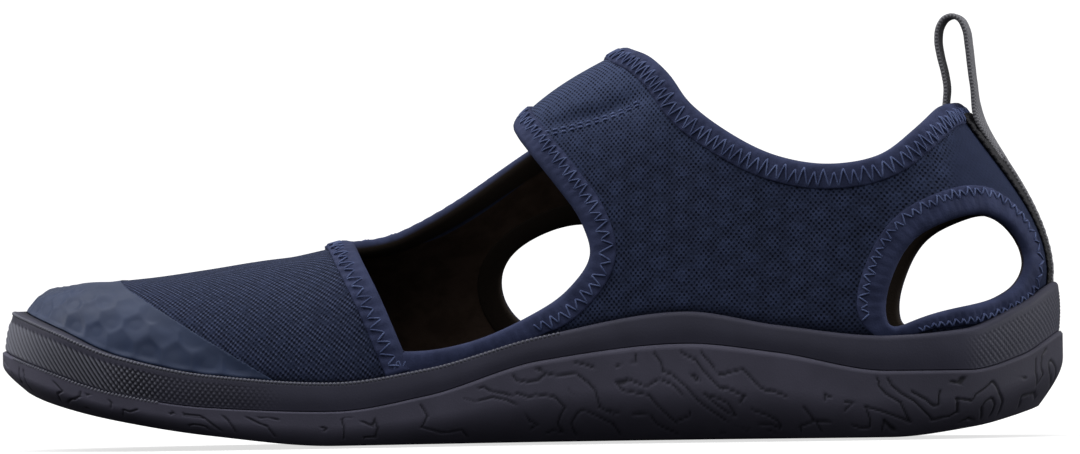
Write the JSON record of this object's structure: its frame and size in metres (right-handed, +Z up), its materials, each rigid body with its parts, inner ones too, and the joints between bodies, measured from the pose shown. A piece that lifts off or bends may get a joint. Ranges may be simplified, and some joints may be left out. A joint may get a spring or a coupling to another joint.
{
  "type": "hiking sandal",
  "caption": "Closed-toe hiking sandal for a child's right foot, with a mesh upper, side and heel cut-outs, a closing strap and a cupped rubber sole.",
  "frame": {"origin": "middle of the sole's length and width, on the floor it stands on", "axes": "+X towards the heel, toe at -X, +Y towards the outer (lateral) side, +Z up"},
  "size_m": [0.21, 0.082, 0.0834],
  "materials": {
    "sole_rubber": "matt moulded rubber",
    "rim_rubber": "matt moulded rubber, knurled at toe and heel",
    "footbed": "black textile on foam",
    "mesh_fabric": "navy air mesh",
    "cap_film": "satin film with pressed dimples",
    "webbing": "woven grey ribbon"
  },
  "bodies": {
    "root": {"outsole": "sole_rubber", "midsole": "rim_rubber", "insole": "footbed", "upper": "mesh_fabric", "toe_cap": "cap_film", "heel_tape": "webbing", "pull_loop": "webbing"}
  },
  "joints": []
}
